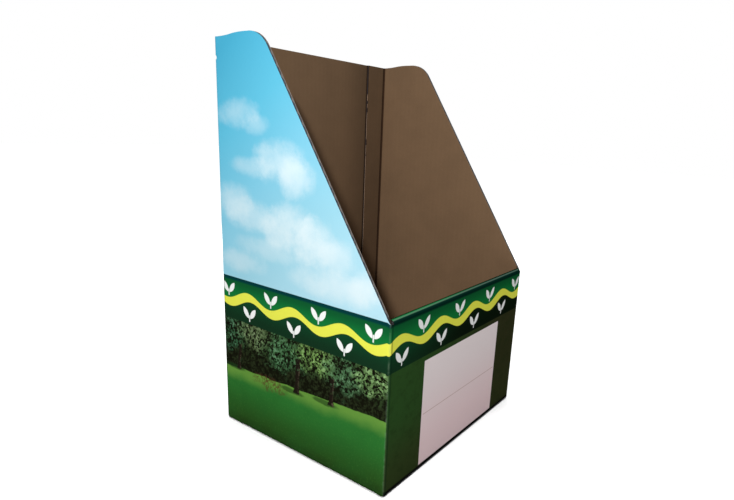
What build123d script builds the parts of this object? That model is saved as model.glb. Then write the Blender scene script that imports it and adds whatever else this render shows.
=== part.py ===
"""Counter display box, folded from one sheet of printed corrugated board.

The blank is a row of four wall panels: back, left side, front and right side. A glue tab on the
right side holds the last corner, on the inside of the back panel. The side panels slope down
from a rounded hump at the back to a low front. The front panel rolls over its top fold and comes
down inside as a second leaf. Four flaps close the base as a snap lock: the front flap's tongue
rises through the recess of the back flap and holds the others. All of it is one sheet, so it is
one solid.

Each run of board is a line along the middle of its thickness, with an arc at every fold, that is
given the board's thickness. The frame: x runs along the front, the front faces -y, z is up, and
the box stands on z = 0 with its centre over the origin. Lengths are in millimetres and angles in
degrees.
"""

import os
from math import atan2, degrees, radians, sin, sqrt

from build123d import *

os.makedirs("parts", exist_ok=True)

# The box over its outer faces
box_width = 260.0
box_depth = 224.0
front_height = 170.0
back_height = 400.0
hump_height = 402.5

# The board, and how tightly it folds
board = 3.0
fold_inner_radius = 0.5
fold_foot = 1.5
leaf_gap = 0.8
layer_gap = 0.3

# The top edge of a side panel: its hump ends in the slope, and falls to the level of the back
hump_length = 66.7
hump_corner_radius = 30.0
hump_fall_length = 36.0
back_land = 6.0

# The glue tab, and the free edge of the back panel that it is glued to
tab_width = 35.0
tab_foot = 6.0
free_edge_inset = 1.0

# The inner leaf of the rolled front
leaf_side_clearance = 0.8
leaf_foot_clearance = 0.5

# The bottom flaps: a length or a start is measured from the outer face of the flap's own panel
corner_relief = 5.0
flap_bend_radius = 8.0
front_flap_mitre = 21.0
front_flap_length = 98.0
tongue_width = 104.0
tongue_rise = 26.0
tongue_reach = 31.0
tongue_corner_radius = 14.0
side_flap_mitre = 24.0
side_flap_length = 68.0
side_flap_front_setback = 8.0
side_flap_rear_setback = 28.0
side_flap_corner_radius = 12.0
side_rise_start = 6.0
side_rise = 16.0
back_flap_length = 146.0
back_flap_corner_radius = 16.0
back_rise_start = 8.0
back_rise = 37.0
recess_side_clearance = 5.0
recess_end_clearance = 3.0
recess_corner_radius = 10.0

# A small nick in the fold between the back and the left side
nick_centre_height = 381.5
nick_height = 4.2
nick_depth = 1.1

# Sizes that follow from the ones above: the middle of the board first
middle = board / 2
fold_radius = fold_inner_radius + middle
roll_radius = (board + leaf_gap) / 2
roll_foot = front_height - middle - roll_radius
half_width = box_width / 2
half_depth = box_depth / 2
inside_width = box_width - 2 * board
leaf_width = inside_width - 2 * leaf_side_clearance
flap_root = box_width - 2 * corner_relief
root_height = 2 * (fold_radius + middle)
side_root_front = -half_depth + side_flap_front_setback
side_root_rear = half_depth - side_flap_rear_setback
side_root = side_root_rear - side_root_front

# Heights of the middle of each flap where it lies level, from the ground up
front_level = middle
side_level = front_level + board + layer_gap
back_level = side_level + board + layer_gap
tongue_level = back_level + board + layer_gap


def mitred_outline(length, first_edge, second_edge, mitre):
    """Lines round a flap in plan: it leaves its fold on x = 0 and loses a mitre at both edges."""
    Polyline(
        (0, first_edge),
        (corner_relief, first_edge),
        (corner_relief + mitre, first_edge + mitre),
        (length, first_edge + mitre),
        (length, second_edge - mitre),
        (corner_relief + mitre, second_edge - mitre),
        (corner_relief, second_edge),
        (0, second_edge),
        (0, first_edge),
    )


with BuildPart() as walls:
    # The panels in plan: from the back's free edge round to the right side, then round the last
    # fold into the glue tab. The upright folds end just above the ground, on the flap folds.
    with BuildSketch(Plane.XY.offset(fold_foot)):
        with BuildLine():
            FilletPolyline(
                (half_width - free_edge_inset, half_depth - middle),
                (-half_width + middle, half_depth - middle),
                (-half_width + middle, -half_depth + middle),
                (half_width - middle, -half_depth + middle),
                (half_width - middle, 0),
                radius=fold_radius,
            )
        trace(line_width=board)
        with BuildLine():
            FilletPolyline(
                (half_width - middle, 0),
                (half_width - middle, half_depth - board - middle),
                (half_width - tab_width, half_depth - board - middle),
                radius=fold_radius,
            )
        trace(line_width=board)
    extrude(amount=hump_height - fold_foot)

    # The tab ends above the back flap's fold
    with Locations((half_width - board, half_depth - board, fold_foot)):
        Box(
            2 * tab_width,
            2 * board,
            tab_foot - fold_foot,
            align=(Align.MAX, Align.MAX, Align.MIN),
            mode=Mode.SUBTRACT,
        )

    # The outline of the side panels: the fall behind the hump, the hump and the slope, which
    # meets the top of the front's roll
    crest = -half_depth + middle + roll_radius
    slope_foot = crest - (front_height - roll_foot) * (half_depth - hump_length - crest) / (
        hump_height - front_height
    )
    fall_angle = degrees(2 * atan2(hump_height - back_height, hump_fall_length))
    fall_radius = hump_fall_length / (2 * sin(radians(fall_angle)))
    with BuildSketch(Plane.YZ.offset(-half_width)):
        with BuildLine():
            land = Line((half_depth, back_height), (half_depth - back_land, back_height))
            lower_fall = JernArc(land @ 1, (-1, 0), fall_radius, -fall_angle)
            upper_fall = JernArc(lower_fall @ 1, lower_fall % 1, fall_radius, fall_angle)
            FilletPolyline(
                upper_fall @ 1,
                (half_depth - hump_length, hump_height),
                (slope_foot, roll_foot),
                radius=hump_corner_radius,
            )
            Polyline(
                (slope_foot, roll_foot),
                (-half_depth, roll_foot),
                (-half_depth, 0),
                (half_depth, 0),
                (half_depth, back_height),
            )
        make_face()
    extrude(amount=box_width, mode=Mode.INTERSECT)

    # The front panel is level between the side panels, where it rolls inwards
    with Locations((0, -half_depth, roll_foot)):
        Box(
            inside_width,
            2 * root_height,
            2 * root_height,
            align=(Align.CENTER, Align.CENTER, Align.MIN),
            mode=Mode.SUBTRACT,
        )

    # Room for the roots of the flaps, along the feet of the panels
    with Locations((0, -half_depth, 0), (0, half_depth, 0)):
        Box(
            flap_root,
            2 * board,
            root_height,
            align=(Align.CENTER, Align.CENTER, Align.MIN),
            mode=Mode.SUBTRACT,
        )
    with Locations((-half_width, side_root_front, 0), (half_width, side_root_front, 0)):
        Box(
            2 * board,
            side_root,
            root_height,
            align=(Align.CENTER, Align.MIN, Align.MIN),
            mode=Mode.SUBTRACT,
        )

    # The nick: a shallow scoop out of the fold, across its outermost line
    nick_radius = (nick_height**2 / 4 + nick_depth**2) / (2 * nick_depth)
    outermost = (fold_radius + middle) * (1 - 1 / sqrt(2))
    nick_plane = Plane(
        (-half_width + outermost, half_depth - outermost, nick_centre_height),
        x_dir=(-1, 1, 0),
        z_dir=(1, 1, 0),
    )
    with BuildSketch(nick_plane.offset(-root_height)):
        with Locations((nick_radius - nick_depth, 0)):
            Circle(nick_radius)
    extrude(amount=2 * root_height, mode=Mode.SUBTRACT)

# The rolled front: over its top fold, and down inside to just above the front flap
with BuildPart() as inner_leaf:
    with BuildSketch(Plane.YZ.offset(-leaf_width / 2)):
        with BuildLine():
            roll = JernArc((-half_depth + middle, roll_foot), (0, 1), roll_radius, -180)
            Line(roll @ 1, ((roll @ 1).X, board + leaf_foot_clearance))
        trace(line_width=board)
    extrude(amount=leaf_width)

# The front flap lies on the ground, and its tongue rises to the top of the stack
with BuildPart() as front_flap:
    tongue_end = front_flap_length + tongue_rise + tongue_reach
    with BuildSketch(Plane.YZ.offset(-flap_root / 2)):
        with BuildLine():
            FilletPolyline(
                (-half_depth + middle, root_height),
                (-half_depth + middle, front_level),
                (-half_depth + front_flap_length, front_level),
                (-half_depth + front_flap_length + tongue_rise, tongue_level),
                (-half_depth + tongue_end, tongue_level),
                radius=[fold_radius, flap_bend_radius, flap_bend_radius],
            )
        trace(line_width=board)
    extrude(amount=flap_root)
    front_root = Plane((0, -half_depth, 0), x_dir=(0, 1, 0), z_dir=(0, 0, 1))
    with BuildSketch(front_root) as front_flap_plan:
        with BuildLine():
            mitred_outline(front_flap_length, -flap_root / 2, flap_root / 2, front_flap_mitre)
        make_face()
        with Locations((tongue_end / 2, 0)):
            Rectangle(tongue_end, tongue_width)
        fillet(front_flap_plan.vertices().group_by(Axis.X)[-1], tongue_corner_radius)
    extrude(amount=front_height, mode=Mode.INTERSECT)

# A side flap rises over the front flap; the right one is its mirror image
with BuildPart() as side_flaps:
    with BuildSketch(Plane.XZ.offset(-side_root_front)):
        with BuildLine():
            FilletPolyline(
                (-half_width + middle, root_height),
                (-half_width + middle, front_level),
                (-half_width + side_rise_start, front_level),
                (-half_width + side_rise_start + side_rise, side_level),
                (-half_width + side_flap_length, side_level),
                radius=[fold_radius, flap_bend_radius, flap_bend_radius],
            )
        trace(line_width=board)
    extrude(amount=-side_root)
    left_root = Plane((-half_width, 0, 0), x_dir=(1, 0, 0), z_dir=(0, 0, 1))
    with BuildSketch(left_root) as side_flap_plan:
        with BuildLine():
            mitred_outline(side_flap_length, side_root_front, side_root_rear, side_flap_mitre)
        make_face()
        fillet(side_flap_plan.vertices().group_by(Axis.X)[-1], side_flap_corner_radius)
    extrude(amount=front_height, mode=Mode.INTERSECT)
    mirror(about=Plane.YZ)

# The back flap rises over the side flaps, and its recess lets the tongue through
with BuildPart() as back_flap:
    with BuildSketch(Plane.YZ.offset(flap_root / 2)):
        with BuildLine():
            FilletPolyline(
                (half_depth - middle, root_height),
                (half_depth - middle, front_level),
                (half_depth - back_rise_start, front_level),
                (half_depth - back_rise_start - back_rise, back_level),
                (half_depth - back_flap_length, back_level),
                radius=[fold_radius, flap_bend_radius, flap_bend_radius],
            )
        trace(line_width=board)
    extrude(amount=-flap_root)
    back_root = Plane((0, half_depth, 0), x_dir=(0, -1, 0), z_dir=(0, 0, 1))
    recess_start = box_depth - front_flap_length - tongue_rise - recess_end_clearance
    with BuildSketch(back_root) as back_flap_plan:
        with Locations((back_flap_length / 2, 0)):
            Rectangle(back_flap_length, flap_root)
        fillet(back_flap_plan.vertices().group_by(Axis.X)[-1], back_flap_corner_radius)
        with Locations((recess_start + back_flap_length, 0)):
            RectangleRounded(
                2 * back_flap_length,
                tongue_width + 2 * recess_side_clearance,
                recess_corner_radius,
                mode=Mode.SUBTRACT,
            )
    extrude(amount=front_height, mode=Mode.INTERSECT)

# All of it is one sheet of board
with BuildPart() as display_box:
    add(walls.part)
    add(inner_leaf.part)
    add(front_flap.part)
    add(side_flaps.part)
    add(back_flap.part)

display_box.part.label = "display_box"
export_step(display_box.part, "parts/display_box.step")
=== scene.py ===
# %% [markdown]
# # A counter display box of corrugated board
#
# The real box is one printed sheet, die-cut, creased and folded. Its picture could be had from
# the CAD part with a few materials on it, but then print and flutes would have to be fitted to
# finished walls. This lesson builds the sheet flat, the way a box maker draws it, and then folds
# it in code: two flat papers and the fluted paper between them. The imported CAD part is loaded
# first. It fixes the frame and the size, and everything made here stays inside its box.

# %% The frame
from collections import Counter
from math import atan2, cos, pi, radians, sin, tan

import bpy
import numpy as np
from mathutils import Euler, Matrix, Vector


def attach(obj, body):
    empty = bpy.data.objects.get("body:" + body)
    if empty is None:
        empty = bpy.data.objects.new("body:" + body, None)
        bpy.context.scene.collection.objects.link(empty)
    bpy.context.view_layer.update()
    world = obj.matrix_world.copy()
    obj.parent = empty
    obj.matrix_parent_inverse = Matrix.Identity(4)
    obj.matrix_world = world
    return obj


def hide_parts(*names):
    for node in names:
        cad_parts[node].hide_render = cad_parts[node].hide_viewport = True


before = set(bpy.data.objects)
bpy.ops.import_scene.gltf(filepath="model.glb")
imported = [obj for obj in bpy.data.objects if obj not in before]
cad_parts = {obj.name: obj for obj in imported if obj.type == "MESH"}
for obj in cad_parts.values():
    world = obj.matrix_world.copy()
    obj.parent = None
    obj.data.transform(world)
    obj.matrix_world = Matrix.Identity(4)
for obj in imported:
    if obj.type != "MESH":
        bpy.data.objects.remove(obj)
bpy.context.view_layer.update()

# %% [markdown]
# ## Sizes
#
# These are the sizes of the CAD part, in millimetres. They could be measured on its mesh, but a
# named size says what it is for. Everything is worked out in millimetres, and only the last step
# turns it into metres.

# %% Sizes of the box and its board
WIDTH, DEPTH = 260.0, 224.0
HALF_X, HALF_Y = WIDTH / 2, DEPTH / 2
BOARD, PAPER, FLUTE_PITCH = 3.0, 0.42, 6.5  # PAPER is the thickness of an outer or inner paper
MID_X, MID_Y = HALF_X - BOARD / 2, HALF_Y - BOARD / 2  # the middle of the board
FOLD = 2.0  # radius of a fold, at the middle of the board
FOOT = 1.5  # the upright folds end here, above the ground
WALL_FOOT = FOOT + FOLD  # a wall begins here, above its flap's fold
ROLL_FOOT, ROLL = 166.6, 1.9  # where the front's roll begins, and its radius
LEAF_HALF, LEAF_FOOT = 126.2, 3.5  # half the width of the rolled front's leaf, and its foot
TAB_WIDTH, TAB_FOOT, FREE_EDGE = 35.0, 6.0, 1.0  # the glue tab, and the inset of the back's edge
BACK_TOP, HUMP_TOP, SLOPE_FOOT = 400.0, 402.5, -110.85  # two heights, and a place in y
# Along the side's top edge: the level part, the rise to the hump, the hump's end and its radius
BACK_LAND, HUMP_FALL, HUMP_LENGTH, HUMP_CORNER = 6.0, 36.0, 66.7, 30.0
NICK_Z, NICK_HEIGHT, NICK_DEPTH = 381.5, 4.2, 1.1  # a small nick in one back fold
TINY, ENDLESS = 1e-6, 1e9  # for comparing lengths, and for a cell without a top
print("board", BOARD, "mm, flutes every", FLUTE_PITCH, "mm")

# %% Sizes of the bottom flaps
# A length or a climb is measured from the outer face of the flap's own panel.
FRONT_LENGTH, TONGUE_CLIMB, TONGUE_LENGTH = 98.0, (98.0, 124.0), 155.0
SIDE_LENGTH, SIDE_CLIMB = 68.0, (6.0, 22.0)
BACK_LENGTH, BACK_CLIMB = 146.0, (8.0, 45.0)
FLAP_BEND = 8.0  # radius of the bends of a climb
LAYER = BOARD + 0.3  # from one flap to the next, with a little air between them
GROUND, SIDE_LEVEL, BACK_LEVEL, TONGUE_LEVEL = (BOARD / 2 + k * LAYER for k in range(4))
ROOT_HALF, SIDE_FRONT, SIDE_REAR = 125.0, -104.0, 84.0  # where the flaps' roots end
RELIEF, FRONT_MITRE, SIDE_MITRE = 5.0, 21.0, 24.0  # a straight start, then a slanted cut
TONGUE_HALF, TONGUE_CORNER, SIDE_CORNER, BACK_CORNER = 52.0, 14.0, 12.0, 16.0
RECESS_HALF, RECESS_START, RECESS_CORNER = 57.0, 97.0, 10.0
print("flaps reach", TONGUE_LENGTH, SIDE_LENGTH, "and", BACK_LENGTH, "mm")

# %% [markdown]
# ## Board seen on edge
#
# A folded sheet is straight runs joined by arcs. It could be bent by modifiers, one for each
# fold, but a formula for the whole line puts every point exactly where the CAD part has it. A
# `Run` holds such a line, measured along the middle of the board. It gives the point at any
# distance along it and any depth off it, where a positive depth is towards the printed side. The
# same class draws the plan of the four walls and the cross-sections of the flaps and the roll.

# %% A run of board
class Run:
    def __init__(self, corners, radii, anchor=None):
        """anchor is (corner number, distance) and gives the distance at which that arc ends."""
        points = [np.array(p, float) for p in corners]
        here, at = points[0], 0.0
        self.pieces, self.bends = [], {}
        for i, radius in enumerate(radii, start=1):
            before, after = points[i] - points[i - 1], points[i + 1] - points[i]
            heading = atan2(before[1], before[0])
            turn = (atan2(after[1], after[0]) - heading + pi) % (2 * pi) - pi
            cut = radius * tan(abs(turn) / 2)
            start = points[i] - cut * before / np.hypot(*before)
            self.pieces.append((at, here, heading, 0.0))
            at += np.hypot(*(start - here))
            self.bends[i] = (at, at + radius * abs(turn))
            if radius:
                self.pieces.append((at, start, heading, np.sign(turn) / radius))
            at += radius * abs(turn)
            here = points[i] + cut * after / np.hypot(*after)
        last = points[-1] - points[-2]
        self.pieces.append((at, here, atan2(last[1], last[0]), 0.0))
        self.end = at + np.hypot(*(points[-1] - here))
        self.start = 0.0
        if anchor:
            shift = anchor[1] - self.bends[anchor[0]][1]
            self.pieces = [(a + shift, *rest) for a, *rest in self.pieces]
            self.bends = {k: (a + shift, b + shift) for k, (a, b) in self.bends.items()}
            self.start, self.end = shift, self.end + shift

    def at(self, distance, depth=0.0):
        """The two coordinates of points at these distances along and depths off the run."""
        distance, depth = np.broadcast_arrays(np.asarray(distance, float), depth)
        which = np.searchsorted([p[0] for p in self.pieces], distance, "right") - 1
        along, across = np.zeros(distance.shape), np.zeros(distance.shape)
        for k, (begin, point, heading, bend) in enumerate(self.pieces):
            here = (which == k) | ((k == 0) & (which < 0))
            s = distance[here] - begin
            turned = heading + bend * s
            if bend:
                a = point[0] + (np.sin(turned) - sin(heading)) / bend
                b = point[1] - (np.cos(turned) - cos(heading)) / bend
            else:
                a, b = point[0] + s * cos(heading), point[1] + s * sin(heading)
            along[here] = a + depth[here] * np.sin(turned)
            across[here] = b - depth[here] * np.cos(turned)
        return along, across

    def samples(self, bend, count):
        """Distances that divide a bend into equal steps."""
        return list(np.linspace(*self.bends[bend], count + 1))


example = Run([(0, 0), (10, 0), (10, 10)], [FOLD])
print("two sides of 10 mm with a fold between them take", round(example.end, 2), "mm of board")

# %% The plan of the walls
# From the free edge of the back, round the left side and the front, to the glue tab. The
# distance u is zero in the middle of the near left fold, so the front has u above zero.
plan = Run(
    [(HALF_X - FREE_EDGE, MID_Y), (-MID_X, MID_Y), (-MID_X, -MID_Y), (MID_X, -MID_Y),
     (MID_X, MID_Y - BOARD), (HALF_X - TAB_WIDTH, MID_Y - BOARD)],
    [FOLD] * 4, anchor=(2, FOLD * pi / 4))
BACK_FOLD, FRONT_FOLD, FAR_FOLD, TAB_FOLD = (plan.bends[k] for k in (1, 2, 3, 4))
print("the blank is", round(plan.end - plan.start, 1), "mm long")


def on_front(x):
    """The distance u of a place on the front panel; the next three do the same elsewhere."""
    return FRONT_FOLD[1] + (x + MID_X - FOLD)


def on_left(y):
    return FRONT_FOLD[0] - (y + MID_Y - FOLD)


def on_right(y):
    return FAR_FOLD[1] + (y + MID_Y - FOLD)


def on_back(x):
    return BACK_FOLD[0] - (x + MID_X - FOLD)


# %% The cross-sections
# Each starts at the tip of a flap and climbs the wall, where the distance v is the height.
def flap_run(length, climb, level, wall, radii=()):
    """From a flap's tip down its climb to the ground, and up its wall."""
    tip, upper, lower = (BOARD / 2 - reach for reach in (length, climb[1], climb[0]))
    return Run([(tip, level), (upper, level), (lower, GROUND), (0, GROUND), *wall],
               [FLAP_BEND, FLAP_BEND, FOLD, *radii], anchor=(3, WALL_FOOT))


over_all = (0, 500)  # above every wall
roll_top = ROLL_FOOT + ROLL
upright = Run([(0, 0), over_all], [])
front_run = flap_run(TONGUE_LENGTH, TONGUE_CLIMB, TONGUE_LEVEL,
                     [(0, roll_top), (-2 * ROLL, roll_top), (-2 * ROLL, LEAF_FOOT)], [ROLL, ROLL])
side_run = flap_run(SIDE_LENGTH, SIDE_CLIMB, SIDE_LEVEL, [over_all])
back_run = flap_run(BACK_LENGTH, BACK_CLIMB, BACK_LEVEL, [over_all])
RUNS = [upright, front_run, side_run, back_run]
print("the front is", round(front_run.end - front_run.start, 1), "mm from tongue to inner foot")

# %% [markdown]
# ## The top edge of the sides
#
# The die cuts the side panels level at the back, up over a rounded hump and down a straight
# slope. A boolean cut through folded walls would leave ragged faces there. Instead one more
# `Run` draws that outline, and a table of its points gives the height at any y.

# %% The height of the cut edge
fall = 2 * atan2(HUMP_TOP - BACK_TOP, HUMP_FALL)  # each of the two arcs turns by this angle
fall_radius = HUMP_FALL / (2 * sin(fall))
fall_cut = fall_radius * tan(fall / 2)  # from the end of an arc to the corner that it rounds
fall_start = HALF_Y - BACK_LAND
edge_run = Run(
    [(HALF_Y, BACK_TOP), (fall_start - fall_cut, BACK_TOP),
     (fall_start - HUMP_FALL + fall_cut, HUMP_TOP), (HALF_Y - HUMP_LENGTH, HUMP_TOP),
     (SLOPE_FOOT, ROLL_FOOT), (-HALF_Y, ROLL_FOOT)],
    [fall_radius, fall_radius, HUMP_CORNER, 0.0])
edge_y, edge_z = edge_run.at(np.linspace(0, edge_run.end, 4001))


def cut_height(y):
    return np.interp(y, edge_y[::-1], edge_z[::-1])


def wall_top(u):
    """How high the wall stands at u, at the middle of the board."""
    x, y = plan.at(u)
    return np.where((np.abs(x) < MID_X - FOLD + TINY) & (y < 0), ROLL_FOOT, cut_height(y))


print("heights at y -50, 41, 80:", np.round(cut_height(np.array([-50.0, 41.0, 80.0])), 1))

# %% [markdown]
# ## The flaps, drawn flat
#
# A box maker draws a flap as an outline: how far it reaches from its own panel, all the way
# along. Drawn so, it needs no thought for the bends that it gets later. The lists give (place
# along the panel, reach). Two points at the same place are a straight cut along the flap.

# %% Outlines of the bottom flaps
QUARTER = np.linspace(0, pi / 2, 7)


def corner(x, r, radius, side):
    """Points round a corner of an outline that has its square corner at (x, r)."""
    return [(x + side * radius * (1 - cos(t)), r - radius * (1 - sin(t))) for t in QUARTER]


def both_ways(points):
    """The outline on one half, and its mirror image on the other."""
    return points + [(-x, r) for x, r in reversed(points)]


front_edge = FRONT_MITRE - ROOT_HALF
front_outline = both_ways(
    [(-ROOT_HALF, RELIEF), (front_edge, RELIEF + FRONT_MITRE), (front_edge, FRONT_LENGTH),
     (-TONGUE_HALF, FRONT_LENGTH)] + corner(-TONGUE_HALF, TONGUE_LENGTH, TONGUE_CORNER, 1))
back_outline = both_ways(
    corner(-ROOT_HALF, BACK_LENGTH, BACK_CORNER, 1) + [(-RECESS_HALF, BACK_LENGTH)]
    + [(-RECESS_HALF + RECESS_CORNER * (1 - cos(t)), RECESS_START + RECESS_CORNER * (1 - sin(t)))
       for t in QUARTER])
near_edge, far_edge = SIDE_FRONT + SIDE_MITRE, SIDE_REAR - SIDE_MITRE
side_outline = (
    [(SIDE_FRONT, RELIEF), (near_edge, RELIEF + SIDE_MITRE)]
    + corner(near_edge, SIDE_LENGTH, SIDE_CORNER, 1)
    + corner(far_edge, SIDE_LENGTH, SIDE_CORNER, -1)[::-1]
    + [(far_edge, RELIEF + SIDE_MITRE), (SIDE_REAR, RELIEF)])


def reach_to_v(run, r):
    """The distance along a cross-section at which a flap has this reach."""
    v = np.linspace(run.start, WALL_FOOT, 2001)
    return float(np.interp(BOARD / 2 - r, run.at(v)[0], v))


print("outline points:", len(front_outline), len(side_outline), len(back_outline))

# %% [markdown]
# ## Cells of the flat sheet
#
# The sheet is cut into strips that follow the flutes. A cell is the part of a strip between two
# places u, with its lowest and highest v on both sides. Walls, feet at the corners, flaps and
# the rolled leaf are all lists of such cells. They share their corner points, so the sheet stays
# one closed piece, which a filled outline with arbitrary triangles wouldn't fold as cleanly.

# %% Cells
def cells_of(run, outline, place, levels):
    """Cells of a flap. place turns a position along the panel into u."""
    cells = []
    for (a0, r0), (a1, r1) in zip(outline, outline[1:]):
        if a1 - a0 > TINY:
            ends = [(place(a), reach_to_v(RUNS[run], r)) for a, r in ((a0, r0), (a1, r1))]
            (u0, low0), (u1, low1) = sorted(ends)
            cells.append((run, u0, low0, WALL_FOOT, u1, low1, WALL_FOOT, levels))
    return cells


def flap_levels(run, outline):
    """The distances v at which a flap has a row of points: in its bends and at its cuts."""
    bent = [v for k in (1, 2) for v in RUNS[run].samples(k, 3)] + RUNS[run].samples(3, 7)
    cuts = [reach_to_v(RUNS[run], r) for (a0, r0), (a1, r1) in zip(outline, outline[1:])
            if a1 - a0 <= TINY for r in (r0, r1)]
    return sorted(bent + cuts)


flaps = []
for run, outline, place in ((1, front_outline, on_front), (2, side_outline, on_left),
                            (2, side_outline, on_right), (3, back_outline, on_back)):
    flaps += cells_of(run, outline, place, flap_levels(run, outline))

leaf_levels = front_run.samples(4, 6) + front_run.samples(5, 6)[1:]
leaf = [(1, on_front(-LEAF_HALF), ROLL_FOOT, front_run.end,
         on_front(LEAF_HALF), ROLL_FOOT, front_run.end, leaf_levels)]

roots = [(on_back(ROOT_HALF), on_back(-ROOT_HALF)), (on_left(SIDE_REAR), on_left(SIDE_FRONT)),
         (on_front(-ROOT_HALF), on_front(ROOT_HALF)), (on_right(SIDE_FRONT), on_right(SIDE_REAR))]
gaps = zip([plan.start] + [b for a, b in roots], [a for a, b in roots] + [TAB_FOLD[0]])
feet = [(0, a, FOOT, WALL_FOOT, b, FOOT, WALL_FOOT, []) for a, b in gaps]

wall_levels = [NICK_Z + NICK_HEIGHT / 2 * t for t in (-1, -0.8, -0.5, 0, 0.5, 0.8, 1)]
wall_ends = [(plan.start, WALL_FOOT), (TAB_FOLD[0], WALL_FOOT), (TAB_FOLD[1], TAB_FOOT),
             (plan.end, TAB_FOOT)]
walls = [(0, a, low, ENDLESS, b, high, ENDLESS, wall_levels)
         for (a, low), (b, high) in zip(wall_ends, wall_ends[1:])]
print(len(flaps), "flap cells,", len(feet), "feet")

# %% Places where the sheet needs a line along the flutes
edge_places = np.concatenate([
    edge_run.at(edge_run.samples(k, steps))[0] for k, steps in ((1, 10), (2, 10), (3, 22))])
edges_at = [side(y) for side in (on_left, on_right) for y in edge_places]
edges_at += [u for k in (1, 2, 3, 4) for u in plan.samples(k, 8)]
edges_at += [on_left(SLOPE_FOOT), on_front(-LEAF_HALF), on_front(LEAF_HALF)]
edges_at += [u for cell in flaps + leaf + feet + walls for u in (cell[1], cell[4])]
# The mitres of the side flaps cross their bends aslant, and need a line at each crossing.
for (a0, r0), (a1, r1) in zip(side_outline, side_outline[1:]):
    if abs(r1 - r0) > SIDE_MITRE - TINY and a1 > a0:
        ends = sorted([(reach_to_v(side_run, r0), a0), (reach_to_v(side_run, r1), a1)])
        for v in flap_levels(2, side_outline):
            if ends[0][0] < v < ends[1][0]:
                y = np.interp(v, *zip(*ends))
                edges_at += [on_left(y), on_right(y)]
print(len(edges_at), "lines")

# %% [markdown]
# ## Making a sheet
#
# `flat_sheet` lays one paper of the board flat, with a top and a bottom face and closed rims.
# `fold` then moves every point to its place: the cross-section gives how far out and how high
# it is, and the plan gives where that is around the box. Points carry the number of their
# cross-section. A UV map keeps their place on the flat blank in metres, so the print needs no
# unwrapping afterwards.

# %% Flat sheets
GRID = 1e-3  # lines closer than this are one line


def flat_sheet(name, low, high, spacing=None):
    """One paper of the board between two depths, with a line every `spacing` along u."""
    lines = list(edges_at)
    if spacing:
        lines += list(np.arange(plan.start, plan.end, spacing))
    lines = np.array(sorted(lines))
    lines = lines[np.concatenate([[True], np.diff(lines) > GRID])]
    index, points, faces = {}, [], []

    def point(run, u, v):
        """The number of a point; the wall, its flap and the leaf share those where they meet."""
        on_wall = abs(v - WALL_FOOT) < TINY or (run == 1 and abs(v - ROLL_FOOT) < TINY)
        key = (0 if on_wall else run, round(u, 3), round(v, 3))
        if key not in index:
            index[key] = len(points)
            points.append((u, v, key[0]))
        return index[key]

    for run, u0, low0, high0, u1, low1, high1, levels in flaps + leaf + feet + walls:
        inner = lines[(lines > u0 + GRID) & (lines < u1 - GRID)]
        places = np.concatenate([[u0], inner, [u1]])
        share = (places - u0) / (u1 - u0)
        lows = low0 + (low1 - low0) * share
        tops = wall_top(places) if high0 == ENDLESS else high0 + (high1 - high0) * share
        rows = [-ENDLESS, *levels, ENDLESS]
        for i in range(len(places) - 1):
            for below, above in zip(rows, rows[1:]):
                around = ((i, below), (i + 1, below), (i + 1, above), (i, above))
                corners = [point(run, places[k], min(max(level, lows[k]), tops[k]))
                           for k, level in around]
                ring = list(dict.fromkeys(corners))
                if len(ring) > 2:
                    faces.append(ring)

    # A side that only one face has lies on the rim, where a wall joins the two faces
    sides = Counter((a, b) for f in faces for a, b in zip(f, f[1:] + f[:1]))
    rim = [(a, b) for a, b in sides if (b, a) not in sides]
    count = len(points)
    mesh = bpy.data.meshes.new(name)
    mesh.from_pydata(
        [(u, v, high) for u, v, run in points] + [(u, v, low) for u, v, run in points], [],
        faces + [[i + count for i in reversed(f)] for f in faces]
        + [[b, a, a + count, b + count] for a, b in rim])
    runs = [run for u, v, run in points] * 2
    kinds = [0] * len(faces) + [1] * len(faces) + [2] * len(rim)
    mesh.attributes.new("run", "INT", "POINT").data.foreach_set("value", runs)
    mesh.attributes.new("rim", "INT", "FACE").data.foreach_set("value", kinds)
    uv = mesh.uv_layers.new(name="blank")
    corners = np.array([loop.vertex_index for loop in mesh.loops]) % count
    flat = np.array([(u, v) for u, v, run in points])[corners] / 1000
    uv.data.foreach_set("uv", flat.astype(np.float32).ravel())
    piece = bpy.data.objects.new(name, mesh)
    bpy.context.scene.collection.objects.link(piece)
    return piece


def dent(u, v, depth):
    """The small nick in the fold between back and left presses the papers inwards."""
    radius = (NICK_HEIGHT ** 2 / 4 + NICK_DEPTH ** 2) / (2 * NICK_DEPTH)
    off = np.clip(np.abs(v - NICK_Z), 0, NICK_HEIGHT / 2)
    outermost = radius - NICK_DEPTH - np.sqrt(radius ** 2 - off ** 2)
    turn = (u - sum(BACK_FOLD) / 2) / FOLD
    limit = (FOLD + BOARD / 2 + outermost) / np.cos(np.clip(turn, -pi / 4, pi / 4)) - FOLD
    squeezed = 0.35  # the share of their spacing that the pressed papers keep
    pressed = np.minimum(depth, limit - squeezed * (BOARD / 2 - depth))
    return np.where((np.abs(turn) < pi / 4) & (off < NICK_HEIGHT / 2 - TINY), pressed, depth)


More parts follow.
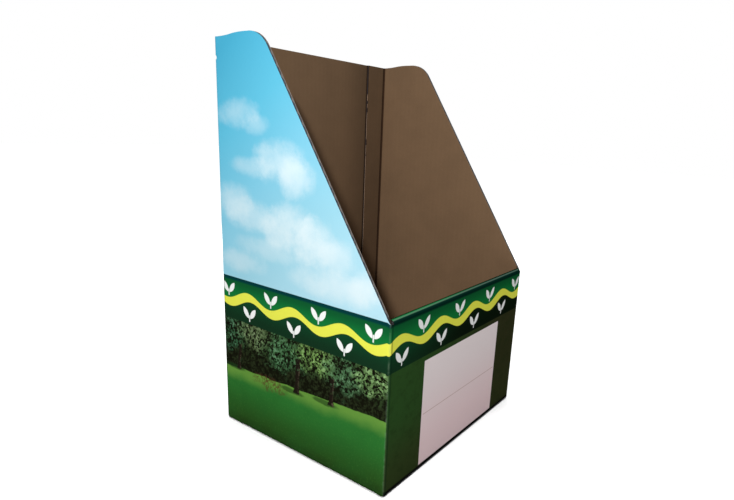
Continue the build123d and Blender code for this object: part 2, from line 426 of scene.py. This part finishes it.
def fold(piece):
    """Moves every point of a flat sheet to its place in the folded box, in metres."""
    mesh = piece.data
    flat = np.zeros(len(mesh.vertices) * 3, np.float32)
    mesh.vertices.foreach_get("co", flat)
    u, v, depth = flat.reshape(-1, 3).astype(float).T
    depth = dent(u, v, depth)
    depths = mesh.attributes.new("depth", "FLOAT", "POINT")
    depths.data.foreach_set("value", depth.astype(np.float32))
    run = np.zeros(len(u), np.int32)
    mesh.attributes["run"].data.foreach_get("value", run)
    out, z = np.zeros(len(u)), np.zeros(len(u))
    for k, section in enumerate(RUNS):
        here = run == k
        out[here], z[here] = section.at(v[here], depth[here])
    x, y = plan.at(u, out)

    # In the corners a point of the cut edge gets the height of its own face, not of mid-board
    turning = np.abs(plan.at(u)[0]) > MID_X - FOLD + TINY
    on_edge = (run == 0) & turning & (np.abs(v - wall_top(u)) < GRID)
    z = np.where(on_edge, cut_height(y), z)
    mesh.vertices.foreach_set("co", (np.stack([x, y, z], 1) / 1000).astype(np.float32).ravel())
    mesh.polygons.foreach_set("use_smooth", [True] * len(mesh.polygons))
    mesh.set_sharp_from_angle(angle=radians(32))
    mesh.update()
    return piece


print(len(flaps + leaf + feet + walls), "cells to lay flat and fold")


# %% [markdown]
# ## The flutes
#
# The middle paper is a wave that repeats every 6.5 mm all along the sheet. It could be bent by
# `fold` as well, but a thing that repeats is what Geometry Nodes are good at. The tree lifts each
# point of a flat sheet by a cosine of its place, and has the pitch and the height as inputs. The
# result becomes a plain mesh, which is folded like the others.

# %% The wave as a node tree
def wave_tree():
    tree = bpy.data.node_groups.new("flute_wave", "GeometryNodeTree")
    face = tree.interface
    face.new_socket("Geometry", in_out="INPUT", socket_type="NodeSocketGeometry")
    for name, value in (("Pitch", FLUTE_PITCH), ("Height", 1.0)):
        face.new_socket(name, in_out="INPUT", socket_type="NodeSocketFloat").default_value = value
    face.new_socket("Material", in_out="INPUT", socket_type="NodeSocketMaterial")
    face.new_socket("Geometry", in_out="OUTPUT", socket_type="NodeSocketGeometry")

    def node(kind, inputs, **settings):
        made = tree.nodes.new(kind)
        for key, value in settings.items():
            setattr(made, key, value)
        for key, value in inputs.items():
            if isinstance(value, bpy.types.NodeSocket):
                tree.links.new(value, made.inputs[key])
            else:
                made.inputs[key].default_value = value
        return made

    given = node("NodeGroupInput", {})
    place = node("ShaderNodeSeparateXYZ", {0: node("GeometryNodeInputPosition", {}).outputs[0]})
    waves = node("ShaderNodeMath", {0: place.outputs[0], 1: given.outputs["Pitch"]},
                 operation="DIVIDE")
    angle = node("ShaderNodeMath", {0: waves.outputs[0], 1: 2 * pi}, operation="MULTIPLY")
    lift = node("ShaderNodeMath", {0: angle.outputs[0]}, operation="COSINE")
    high = node("ShaderNodeMath", {0: lift.outputs[0], 1: given.outputs["Height"]},
                operation="MULTIPLY")
    offset = node("ShaderNodeCombineXYZ", {"Z": high.outputs[0]})
    moved = node("GeometryNodeSetPosition", {"Geometry": given.outputs["Geometry"],
                                             "Offset": offset.outputs[0]})
    real = node("GeometryNodeRealizeInstances", {"Geometry": moved.outputs[0]})
    painted = node("GeometryNodeSetMaterial", {"Geometry": real.outputs[0],
                                               "Material": given.outputs["Material"]})
    node("NodeGroupOutput", {"Geometry": painted.outputs[0]})
    return tree


def as_plain_mesh(piece):
    """Evaluates a piece's modifiers and keeps the result as its mesh."""
    graph = bpy.context.evaluated_depsgraph_get()
    mesh = bpy.data.meshes.new_from_object(
        piece.evaluated_get(graph), preserve_all_data_layers=True, depsgraph=graph)
    print(piece.name, "keeps", [a.name for a in mesh.attributes])
    piece.modifiers.clear()
    piece.data = mesh
    return piece


print("wave_tree makes the flutes' node tree, of", FLUTE_PITCH, "mm pitch")


# %% [markdown]
# ## Shader maths in Python
#
# Patterns are easier to read as expressions than as boxes and wires, and a long chain of nodes
# made one by one would hide the idea. `Field` wraps a socket: operators add Math nodes, and
# `node` adds any other node.

# %% Sockets as Python values
class Field:
    def __init__(self, tree, socket=None):
        self.tree, self.socket = tree, socket

    def node(self, kind, inputs=None, output=0, stops=None, **settings):
        """Adds a node and gives one of its outputs; stops are a ramp's, its own two first."""
        made = self.tree.nodes.new(kind)
        for key, value in settings.items():
            setattr(made, key, value)
        for k, (place, colour) in enumerate(stops or []):
            stop = made.color_ramp.elements[k] if k < 2 else made.color_ramp.elements.new(place)
            stop.position, stop.color = place, (*colour, 1)
        for key, value in (inputs or {}).items():
            if isinstance(value, Field):
                self.tree.links.new(value.socket, made.inputs[key])
            else:
                made.inputs[key].default_value = value
        return Field(self.tree, made.outputs[output])

    def math(self, operation, *others):
        return self.node("ShaderNodeMath", dict(enumerate((self, *others))), operation=operation)

    def __add__(self, other):
        return self.math("ADD", other)

    def __mul__(self, other):
        return self.math("MULTIPLY", other)

    def __sub__(self, other):
        return self.math("SUBTRACT", other)

    def __rsub__(self, other):
        return (self * -1) + other

    def __truediv__(self, other):
        return self.math("DIVIDE", other)

    def __abs__(self):
        return self.math("ABSOLUTE")

    __radd__, __rmul__ = __add__, __mul__

    def rise(self, low, high):
        """0 below low, 1 above high, smooth between; with low above high it falls."""
        return self.node("ShaderNodeMapRange", {0: self, 1: low, 2: high},
                         interpolation_type="SMOOTHSTEP")

    def between(self, low, high, soft=0.3):
        """1 from low to high and 0 outside, with edges that are soft over this distance."""
        return self.rise(low - soft, low + soft) * self.rise(high + soft, high - soft)


def mix(mask, under, over):
    """Colour `over` on colour `under` where the mask is 1."""
    def colour(c):
        return c if isinstance(c, Field) else (*c, 1)
    # Inputs 6 and 7 of the node are its two colours, and output 2 is the mixed one
    return mask.node("ShaderNodeMix", {0: mask, 6: colour(under), 7: colour(over)}, 2,
                     data_type="RGBA", clamp_factor=True)


def ink(red, green, blue):
    """A colour given as 0 to 255 on screen, in the linear values that shaders use."""
    return tuple(((c / 255 + 0.055) / 1.055) ** 2.4 if c > 10 else c / 255 / 12.92
                 for c in (red, green, blue))


def noise(vector, scale, detail=3.0, rough=0.5):
    return vector.node("ShaderNodeTexNoise", {"Vector": vector, "Scale": scale, "Detail": detail,
                                              "Roughness": rough})


def speckle(vector, scale):
    """A random value for each small cell, as leaves have: the cell's colour as one number."""
    return vector.node("ShaderNodeTexVoronoi", {"Vector": vector, "Scale": scale}, 1) * 1.0


def new_material(name):
    material = bpy.data.materials.new(name)
    material.use_nodes = True
    return material, Field(material.node_tree), material.node_tree.nodes["Principled BSDF"]


BUMP_HEIGHT = 0.0002  # in metres


def finish_shader(material, shader, colour, rough, height, strength, gloss):
    """Joins the fields to the shader: colour, roughness and a bump from the height."""
    tree = material.node_tree
    bump = colour.node("ShaderNodeBump", {"Height": height, "Strength": strength,
                                          "Distance": BUMP_HEIGHT})
    tree.links.new(colour.socket, shader.inputs["Base Color"])
    tree.links.new(rough.socket, shader.inputs["Roughness"])
    tree.links.new(bump.socket, shader.inputs["Normal"])
    shader.inputs["Specular IOR Level"].default_value = gloss


print("grey 128 on screen is", round(ink(128, 128, 128)[0], 3), "to a shader")


# %% [markdown]
# ## The print
#
# The outside is printed in a few fields: a sky with soft clouds above, a green band with a
# yellow ribbon in a wave and white sprouts, a hedge with trees and a lawn below it on the sides,
# and a dark green field with an empty white panel on the front. A painted image could be laid
# on, but it would blur close by and would have to be fitted to the panels. These are simple
# shapes of our own, ovals, leaves and waves. Formulas draw them in the blank's own millimetres,
# so they stay sharp and turn the folds as real print does. The print has no gloss, because a
# sheen greys its dark fields.

# %% Printed paper
def blank_place(field):
    """Where a point lies on the blank: its UV map, and u and v in millimetres."""
    uv = field.node("ShaderNodeUVMap", uv_map="blank")
    return uv, *(uv.node("ShaderNodeSeparateXYZ", {0: uv}, k) * 1000 for k in (0, 1))


printed, paint, shader = new_material("printed_paper")
uv, U, V = blank_place(paint)
FRONT_END, BACK_LEFT, TAB = (sum(bend) / 2 for bend in (FAR_FOLD, BACK_FOLD, TAB_FOLD))
on_the_front = U.between(0, FRONT_END, 0.05)
side_out = U.math("MULTIPLY", -1).math("MAXIMUM", U - FRONT_END)  # distance behind a front fold
print("the front is printed from u 0 to", round(FRONT_END, 1), "mm")

# %% Simple shapes
SOFT = 0.25  # how soft a printed edge is


def blob(across, up, place, size, ragged, soft):
    """An oval: 1 inside and 0 outside, with an edge that `ragged` makes uneven."""
    a, b = (across - place[0]) / size[0], (up - place[1]) / size[1]
    return (a * a + b * b + ragged).rise(1 + soft, 1 - soft)


def leaf_shape(across, up, place, lean, length, width):
    """A pointed leaf: the part that two circles share."""
    radius = (length ** 2 + width ** 2) / (2 * width)
    a = (across - place[0]) * cos(lean) + (up - place[1]) * sin(lean)
    b = (up - place[1]) * cos(lean) - (across - place[0]) * sin(lean)
    near, far = b + (radius - width), b - (radius - width)
    return ((a * a + near * near).math("SQRT").rise(radius + SOFT, radius - SOFT)
            * (a * a + far * far).math("SQRT").rise(radius + SOFT, radius - SOFT))


print("an oval for clouds, crowns and the bush, and a leaf for the sprouts")


# %% Sky with soft clouds
# Each cloud is an oval: distance behind the front fold, height, half width, half height, and how
# white it is.
CLOUDS = [
    (188, 331, 24, 11, 0.40), (164, 322, 15, 8, 0.35), (133, 290, 28, 16, 0.60),
    (112, 278, 20, 15, 0.70), (166, 283, 28, 8, 0.40), (200, 247, 24, 15, 0.50),
    (172, 236, 32, 13, 0.55), (122, 229, 28, 19, 0.75), (92, 222, 26, 17, 0.80),
    (64, 213, 22, 15, 0.60), (148, 206, 40, 9, 0.40), (60, 186, 46, 12, 0.70),
    (26, 191, 16, 13, 0.70), (190, 187, 30, 10, 0.45)]
BAND_FOOT, BAND_TOP = 121.7, 168.0
height = (V - BAND_TOP) / (BACK_TOP - BAND_TOP)
away = side_out.math("MINIMUM", DEPTH) / DEPTH
blue = height * 0.62 + away * 0.38  # bluer upwards and towards the back
sky = blue.node("ShaderNodeValToRGB", {0: blue}, stops=[
    (0.05, ink(164, 212, 228)), (0.95, ink(68, 160, 191)), (0.33, ink(134, 196, 215)),
    (0.52, ink(119, 190, 214)), (0.74, ink(90, 178, 206))])
sky = mix(blue.rise(0.7, 0.0) * 0.35, sky, ink(194, 220, 229))
curls = noise(uv, 38.0, 6.0, 0.68) * 3.6 - 1.8
clear = None  # what all the clouds leave of the blue
for place, up, wide, high, share in CLOUDS:
    puff = 1 - blob(side_out, V, (place, up), (wide, high), curls, 1.3) * share * 0.9
    clear = puff if clear is None else clear * puff
sky = mix(1 - clear, sky, ink(215, 230, 234))
print(len(CLOUDS), "clouds")

# %% Lawn and hedge
ridge = V + side_out * 0.05 + noise(uv, 60.0, 3.0) * 4 - 79.0  # zero along the lawn's top
lawn = mix(V.rise(6, 58), ink(42, 80, 30), ink(44, 112, 46))
lawn = mix(V.rise(16, 2) * 0.5, lawn, ink(30, 46, 20))
lawn = mix(noise(uv, 22.0, 4.0, 0.6).rise(0.42, 0.7) * 0.35, lawn, ink(36, 92, 38))
lawn = mix(noise(uv, 500.0, 2.0).rise(0.5, 0.8) * 0.2, lawn, ink(80, 138, 56))
sunny = (ridge + noise(uv, 30.0, 3.0) * 10).rise(-13, 2)
lawn = mix(sunny * 0.85, lawn, ink(104, 150, 62))
clumps = noise(uv, 75.0, 4.0, 0.6)
leaves = speckle(uv, 520.0) * 0.6 + speckle(uv, 260.0) * 0.4
torn = leaves * 1.6 + clumps * 5.6 - 3.6
hedge = mix(leaves.rise(0.4, 0.8) * 0.6, ink(19, 20, 11), ink(48, 58, 35))
high_up = (V + clumps * 34).rise(104, 124)
hedge = mix(high_up * leaves.rise(0.4, 0.75) * 0.8, hedge, ink(56, 82, 46))
print("sky, lawn and hedge take", len(printed.node_tree.nodes), "nodes")

# %% Crowns, trunks and a bush
# A crown is distance behind the front fold, height, half width, half height and colour; a trunk
# is distance, half width, foot and top.
CROWNS = [
    (206, 108, 22, 22, (54, 96, 66)), (170, 112, 26, 15, (96, 116, 76)),
    (128, 104, 30, 20, (62, 104, 66)), (84, 110, 26, 14, (116, 154, 82)),
    (48, 104, 24, 19, (70, 108, 72)), (14, 111, 22, 14, (112, 148, 90))]
TRUNKS = [(196, 1.9, 66, 96), (109, 3.0, 66, 104), (63, 2.2, 69, 98)]
for place, up, wide, high, colour in CROWNS:
    crown = blob(side_out, V, (place, up), (wide, high), torn, 0.9)
    hedge = mix(crown * leaves.rise(0.36, 0.68), hedge, ink(*colour))
    hedge = mix(crown * leaves.rise(0.62, 0.8) * 0.7, hedge, ink(*(c + 44 for c in colour)))
scene_print = mix(ridge.rise(-0.5, 0.5), lawn, hedge)
for place, wide, foot, top in TRUNKS:
    shade = blob(side_out, V, (place + 9, foot + 1), (16, 2.6), torn * 0.3, 0.6)
    scene_print = mix(shade * 0.7, scene_print, ink(30, 58, 26))
    off = side_out + (V - 85.0) * 0.08 + clumps * 5 - 2.5 - place  # a trunk leans and wavers
    flare = (foot + 7 - V).math("MAXIMUM", 0.0) * 0.28
    trunk = (abs(off) - flare + leaves * 1.2).rise(wide + 1.1, wide + 0.3)
    trunk = trunk * V.between(foot, top, 1.2) * leaves.rise(0.9, 0.7)
    scene_print = mix(trunk, scene_print, ink(30, 25, 19))
    lit = trunk * off.rise(-0.2, -wide) * leaves.rise(0.4, 0.7)
    scene_print = mix(lit * 0.6, scene_print, ink(104, 92, 74))
bush = blob(side_out, V, (152, 64), (22, 7), torn, 0.8) * leaves.rise(0.35, 0.6)
scene_print = mix(bush * 0.85, scene_print, ink(84, 50, 36))
print(len(CROWNS), "crowns,", len(TRUNKS), "trunks and a bush")

# %% The front field and its white panel
PANEL_X, PANEL_Z = (52.6, 205.0), (5.7, 116.5)
RULE_X, RULE_Z = (55.2, 203.3), (59.7, 60.4)
front_x = U - FOLD * pi / 4  # distance along the flat of the front
murk = noise(uv, 90.0, 5.0, 0.65)
field = mix(front_x.rise(10, 230), ink(44, 75, 35), ink(48, 50, 29))
field = mix(V.rise(80, 15) * 0.7, field, ink(50, 56, 30))
field = mix(murk.rise(0.45, 0.72) * 0.4, field, ink(30, 46, 20))
# A near-black strip along the foot: dark print, with painted shade where the bottom fold turns
# under
field = mix(V.rise(PANEL_Z[0], PANEL_Z[0] - 1), field, ink(16, 16, 14))
white_panel = front_x.between(*PANEL_X, SOFT) * V.between(*PANEL_Z, SOFT)
field = mix(white_panel, field, mix(V.rise(110, 20), ink(236, 224, 224), ink(238, 212, 214)))
rule = front_x.between(*RULE_X, 0.3) * V.between(*RULE_Z, SOFT)
field = mix(rule * 0.8, field, ink(186, 150, 144))
below = mix(on_the_front, scene_print, field)
print("the white panel is", round(PANEL_X[1] - PANEL_X[0], 1), "mm wide, with one thin line")

# %% The band and its ribbon
# The ribbon is one wave that runs on round the folds, with fresh green above it and deep green
# below it. It swells and thins a little as it goes.
WAVE, SWING, RIBBON_HEIGHT = 65.0, 5.0, 145.0
wave_turn = U * (2 * pi / WAVE)
ribbon = V - RIBBON_HEIGHT - wave_turn.math("SINE") * SWING
swell = wave_turn.math("COSINE") * 1.2 + 4.4
fresh = mix(V.rise(148, 164), ink(20, 112, 52), ink(16, 84, 44))
deep = mix(V.rise(124, 146), ink(20, 49, 30), ink(18, 64, 38))
deep = mix(on_the_front * front_x.rise(0, 130) * 0.85, deep, ink(12, 16, 8))
band = mix(ribbon.rise(-1, 1), deep, fresh)
band = mix(V.rise(163.0, 166.0), band, mix(on_the_front, ink(6, 54, 56), ink(5, 36, 28)))
band = mix((abs(ribbon) - swell).rise(0.3, -0.3), band, ink(226, 228, 80))
print("a wave every", WAVE, "mm")

# %% A sprout in each hollow of the ribbon and under each of its crests
# A sprout is a stalk and two leaves that lean to its sides.
LEAN, LEAF_OUT, LEAF_UP, LEAF_SIZE = 0.95, 5.2, 9.2, (7.0, 2.9)
for shift, foot in ((0.75 * WAVE, 146.5), (0.25 * WAVE, 124.5)):
    a, b = (U - shift).math("WRAP", WAVE / 2, -WAVE / 2), V - foot
    sprout = a.between(-0.7, 0.7, 0.3) * b.between(0, 7, 0.4)
    for lean, out in ((LEAN, LEAF_OUT), (pi - LEAN, -LEAF_OUT)):
        one = leaf_shape(a, b, (out, LEAF_UP), lean, *LEAF_SIZE)
        sprout = sprout.math("MAXIMUM", one)
    band = mix(sprout, band, ink(238, 240, 238))
surface = mix(V.rise(BAND_FOOT - 0.3, BAND_FOOT + 0.3), below, band)
print("two sprouts in each wave, so about", round(2 * (plan.end - plan.start) / WAVE), "in all")

# %% Over the roll of the front, and the sky above the band
# The roll is green, with a painted highlight along its crest and painted shade where it turns
# inwards.
over_roll = on_the_front * V.rise(ROLL_FOOT - 1, ROLL_FOOT)
roll_tone = mix(front_x.rise(40, 190), ink(12, 84, 42), ink(12, 40, 28))
# A painted highlight along the roll's crest
crest = V.between(ROLL_FOOT + 1.0, ROLL_FOOT + 2.2, 0.4)
roll_tone = mix(crest * 0.22, roll_tone, ink(130, 156, 142))
# Painted shade where the roll turns inwards
roll_tone = mix(V.between(ROLL_FOOT + 2.8, ROLL_FOOT + 4.6, 0.3), roll_tone, ink(14, 22, 12))
above = mix(over_roll, sky, roll_tone)
surface = mix(V.rise(BAND_TOP - 0.2, BAND_TOP + 0.4), surface, above)
print("print over the roll begins", round(ROLL_FOOT - 1, 1), "mm up")

# %% Bare paper, creases and scuffs
# The print ends at the flaps and on the glue tab, where the paper is bare. Folds are rubbed pale
# on their outermost line, which also gets a painted highlight, and have painted shade just beyond
# it. The nick shows torn paper.
bare = V.rise(-1.5, -2.1).math("MAXIMUM", U.rise(TAB + 1, TAB + 1.5))
surface = mix(bare, surface, ink(226, 224, 216))
creases = (BACK_FOLD, FRONT_FOLD, FAR_FOLD, TAB_FOLD)
fold_wear_and_highlight = None
# Rubbed wear and a painted highlight along each fold's outermost line
for a, b in creases:
    line = U.between((a + b) / 2 - 0.55, (a + b) / 2 + 0.35, 0.3)
    fold_wear_and_highlight = line if fold_wear_and_highlight is None else fold_wear_and_highlight.math("MAXIMUM", line)
rubbed = noise(uv, 120.0, 4.0, 0.7)
surface = mix(fold_wear_and_highlight * rubbed.rise(0.3, 0.7) * 0.16, surface, ink(150, 178, 150))
# Painted shade just beyond each fold, below the top of the band
for a, b in creases:
    shaded = U.between((a + b) / 2 + 0.7, b + 0.2, 0.4) * V.rise(BAND_TOP, BAND_TOP - 2)
    surface = mix(shaded * 0.5, surface, ink(10, 34, 22))
grain = noise(uv, 900.0, 2.0)
nick_u, nick_v = (U - BACK_LEFT) / 1.7, (V - NICK_Z) / (NICK_HEIGHT / 2)
nick = (nick_u * nick_u + nick_v * nick_v + grain * 0.5).rise(1.3, 1.1)
surface = mix(nick, surface, ink(222, 220, 212))
washboard = (U * (2 * pi / FLUTE_PITCH)).math("COSINE")
rough = 0.34 + grain * 0.08 + bare * 0.35
finish_shader(printed, shader, surface, rough, washboard * 0.3 + grain * 0.15, 0.15, 0.0)
print("printed paper:", len(printed.node_tree.nodes), "nodes")

# %% [markdown]
# ## Brown paper
#
# The inside and the flutes are bare kraft: brown, dull, with short fibres lying mostly along
# the flutes, a faint washboard where the flutes press through, a few rubbed marks, and painted
# shade in the creases and on the back. A scan of such paper would repeat over a sheet this long,
# and noise never does. The same recipe makes the cut edges. There the hollows next to the printed
# paper get painted shade and only the inner rim is pale, so the shader asks each point for its
# `depth` in the board.

# %% Kraft
# Painted shade for the gap under the tab's end and for the hollows; pale torn fibre with a
# painted highlight for the tab's end
GAP_SHADE, FIBRE_AND_HIGHLIGHT, HOLLOW_SHADE = ink(46, 31, 20), ink(214, 176, 140), ink(50, 58, 68)
BLACK = (0.0, 0.0, 0.0)


def times(tone, factor):
    return tuple(c * factor for c in tone)


def kraft(name, tone, flutes, patches=0.0, tab_dashes=0.0, hollow=0.0):
    """How much the paper shows of flutes, pale patches, the pale dashes at the tab's end, and
    painted shade in the hollows.
    """
    material, field, shader = new_material(name)
    uv, u, v = blank_place(field)

    # Fibres, clouds of tone and the washboard
    stretched = uv.node("ShaderNodeMapping", {"Vector": uv, "Scale": (1, 0.22, 1)})
    fibres = noise(stretched, 1400.0, 4.0, 0.7)
    cloudy = noise(uv, 26.0, 4.0, 0.6)
    colour = mix(cloudy.rise(0.35, 0.7) * 0.5, tone, times(tone, 0.82))
    colour = mix(fibres.rise(0.5, 0.75) * 0.35, colour, times(tone, 1.35))
    colour = mix(fibres.rise(0.42, 0.25) * 0.35, colour, times(tone, 0.6))
    washboard = (u * (2 * pi / FLUTE_PITCH)).math("COSINE")
    colour = mix((washboard * 0.5 + 0.5) * flutes, colour, times(tone, 0.8))

    # Rubbed marks high on the back, painted shade in the creases, and a darker glue tab
    drawn_out = uv.node("ShaderNodeMapping", {"Vector": uv, "Scale": (0.35, 2.2, 1)})
    scuff = noise(drawn_out, 90.0, 3.0)
    marks = scuff.rise(0.66, 0.74) * v.rise(330, 385) * u.rise(TAB - 2, TAB + 4)
    colour = mix(marks * 0.5, colour, times(tone, 1.7))
    # Painted shade along the inside of every fold
    for a, b in plan.bends.values():
        colour = mix(u.between(a - 1.5, b + 1.5, 0.4) * 0.9, colour, ink(44, 24, 10))
    colour = mix(u.rise(TAB, TAB + 2) * 0.3, colour, BLACK)

    # The cut edge: pale patches, painted shade in the hollows, and the glue tab's end, with
    # painted shade in its gap and pale dashes of torn fibre and painted highlight
    colour = mix(noise(uv, 75.0, 2.0).rise(0.52, 0.6) * patches, colour, ink(176, 160, 140))
    depth = field.node("ShaderNodeAttribute", attribute_name="depth", output=2)
    # Painted shade in the hollows next to the printed paper
    colour = mix(depth.rise(-0.95, -0.7) * hollow, colour, HOLLOW_SHADE)
    # At the tab's end: painted shade in its gap, broken by pale dashes of torn fibre and painted
    # highlight
    pale_dashes = (noise(uv, 60.0, 3.0) - v * 0.002).rise(-0.22, -0.17) * tab_dashes
    tab_end = u.rise(plan.end - 1, plan.end - 0.5)
    colour = mix(tab_end, colour, mix(pale_dashes, GAP_SHADE, FIBRE_AND_HIGHLIGHT))

    # Painted shade: the back is made darker, most of all beside the tab
    shade_beside_tab = u.rise(on_back(40), on_back(95)) * 0.22
    back = u.rise(BACK_FOLD[1], BACK_FOLD[0]) * 0.12 + shade_beside_tab
    colour = mix(back, colour, BLACK)
    relief = washboard * flutes * 2 + fibres * 0.3
    finish_shader(material, shader, colour, 0.74 + fibres * 0.16, relief, 0.3, 0.12)
    return material


kraft_inside = kraft("kraft_inside", (0.198, 0.121, 0.067), 0.12)
kraft_flute = kraft("kraft_flute", (0.18, 0.16, 0.147), 0.0, hollow=0.9)
printed_edge = kraft("printed_edge", ink(50, 62, 74), 0.0, 0.15)
kraft_edge = kraft("kraft_edge", ink(114, 108, 105), 0.0, 0.3, 0.8)
print("brown papers:", [m.name for m in (kraft_inside, kraft_flute, printed_edge, kraft_edge)])

# %% [markdown]
# ## The three papers
#
# Now the sheet is made: the printed paper outside, the brown paper inside, and the wave between
# them, thin enough to leave the hollows that show along every cut edge. A solid board with
# flutes painted on its edge would be lighter, but its edges would look flat close by.

# %% Printed paper and inner paper
# Of each paper's three materials the first is on its outer side, the second on its inner side
# and the third on its cut rim.
middle = BOARD / 2
outer = fold(flat_sheet("outer_paper", middle - PAPER, middle))
inner = fold(flat_sheet("inner_paper", -middle, PAPER - middle))
for piece, materials in ((outer, (printed, kraft_flute, printed_edge)),
                         (inner, (kraft_flute, kraft_inside, kraft_edge))):
    for material in materials:
        piece.data.materials.append(material)
    which = np.zeros(len(piece.data.polygons), np.int32)
    piece.data.attributes["rim"].data.foreach_get("value", which)
    piece.data.polygons.foreach_set("material_index", which)
    print(piece.name, len(piece.data.polygons), "faces")

# %% The fluted paper
THIN, STEPS = 0.2, 8  # its thickness, and the steps in which a flute is drawn
fluted = flat_sheet("fluted_paper", -THIN / 2, THIN / 2, FLUTE_PITCH / STEPS)
wave = fluted.modifiers.new("wave", "NODES")
wave.node_group = wave_tree()
names = {item.name: item.identifier for item in wave.node_group.interface.items_tree
         if item.in_out == "INPUT"}
wave[names["Pitch"]] = FLUTE_PITCH
wave[names["Height"]] = middle - PAPER - THIN / 2
wave[names["Material"]] = kraft_flute
fold(as_plain_mesh(fluted))
print("fluted_paper", len(fluted.data.polygons), "faces")

# %% They stand for the CAD part
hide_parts("display_box")
for piece in (outer, inner, fluted):
    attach(piece, "root")
    triangles = sum(len(p.vertices) - 2 for p in piece.data.polygons)
    print(piece.name, triangles, "triangles")

# %% [markdown]
# ## Floor, light and camera
#
# The photograph has a plain white ground, a small lamp near the camera that leaves crisp shade
# inside the box, and soft light from all round. A picture of a studio would light the box too,
# but single lamps are easier to place. So there is a pale floor, a small lamp by the camera, a
# wide lamp behind that keeps the far sides from going dark, and a soft sun above. The floor and
# the world are bright to the camera and dimmer in the light that they throw back, because a
# white floor would light up the inside from below. The camera is worked out from the box's
# straight edges.

# %% Floor
JUST_BELOW = -0.0003  # in metres, so that the box's underside stays clear of the floor
bpy.ops.mesh.primitive_plane_add(size=12, location=(0, 0, JUST_BELOW))
floor = bpy.context.object
floor.name = "floor"
floor_material, field, shader = new_material("pale_floor")
spread = field.node("ShaderNodeTexCoord", output=3)  # the floor's own coordinates
seen = field.node("ShaderNodeLightPath")  # 1 for what the camera sees, 0 for bounced light
from_box = spread.node("ShaderNodeVectorMath", {0: spread}, 1, operation="LENGTH")
tone = mix(noise(spread, 2.0).rise(0.3, 0.7), (0.86, 0.86, 0.86), (0.88, 0.88, 0.88))
tone = mix(from_box.rise(0.4, 1.4), tone, (0.97, 0.97, 0.97))
tone = mix(seen, (0.42, 0.42, 0.42), tone)
floor_material.node_tree.links.new(tone.socket, shader.inputs["Base Color"])
shader.inputs["Roughness"].default_value = 0.9
shader.inputs["Specular IOR Level"].default_value = 0.1
floor.data.materials.append(floor_material)
print(floor.name, "is", floor.dimensions.x, "m wide")

# %% Light
bpy.context.scene.view_settings.view_transform = "Standard"
world = bpy.data.worlds.new("studio")
bpy.context.scene.world = world
world.use_nodes = True
background = world.node_tree.nodes["Background"]
seen = Field(world.node_tree).node("ShaderNodeLightPath") * 0.90 + 0.10
world.node_tree.links.new(seen.socket, background.inputs["Strength"])
background.inputs["Color"].default_value = (1, 1, 1, 1)


def lamp(name, place, size, watts):
    """A square lamp that points at the middle of the box."""
    target = Vector((0, 0, 0.2))
    data = bpy.data.lights.new(name, "AREA")
    data.size, data.energy = size, watts
    made = bpy.data.objects.new(name, data)
    made.location = place
    made.rotation_euler = (target - Vector(place)).to_track_quat("-Z", "Y").to_euler()
    bpy.context.scene.collection.objects.link(made)


lamp("key_lamp", (-0.608, -0.265, 0.636), 0.03, 5.2)
lamp("rear_lamp", (0.80, 0.72, 0.50), 0.8, 9.0)
overhead = bpy.data.lights.new("overhead", "SUN")
overhead.energy, overhead.angle = 3.3, radians(25)
bpy.context.scene.collection.objects.link(bpy.data.objects.new("overhead", overhead))
print("lights:", [light.name for light in bpy.data.lights])

# %% Camera
# The fit gives where the eye is, how it is turned in degrees, its focal length in pixels and
# where its axis meets the picture.
EYE, TURN = (-0.475038, -0.362835, 0.323264), (74.9878, -2.7751, -53.7823)
FOCAL_PIXELS, CENTRE = 546.664, (398.538, 276.447)
PICTURE_WIDTH, PICTURE_HEIGHT, SENSOR = 734, 500, 36.0
camera_data = bpy.data.cameras.new("camera")
camera = bpy.data.objects.new("camera", camera_data)
bpy.context.scene.collection.objects.link(camera)
turn = Euler([radians(angle) for angle in TURN]).to_matrix().to_4x4()
camera.matrix_world = Matrix.Translation(EYE) @ turn
camera_data.sensor_width = SENSOR
camera_data.lens = FOCAL_PIXELS / PICTURE_WIDTH * SENSOR
camera_data.shift_x = (PICTURE_WIDTH / 2 - CENTRE[0]) / PICTURE_WIDTH
camera_data.shift_y = (CENTRE[1] - PICTURE_HEIGHT / 2) / PICTURE_WIDTH
camera_data.clip_start = 0.02
bpy.context.scene.camera = camera
print("lens", round(camera_data.lens, 2), "mm")
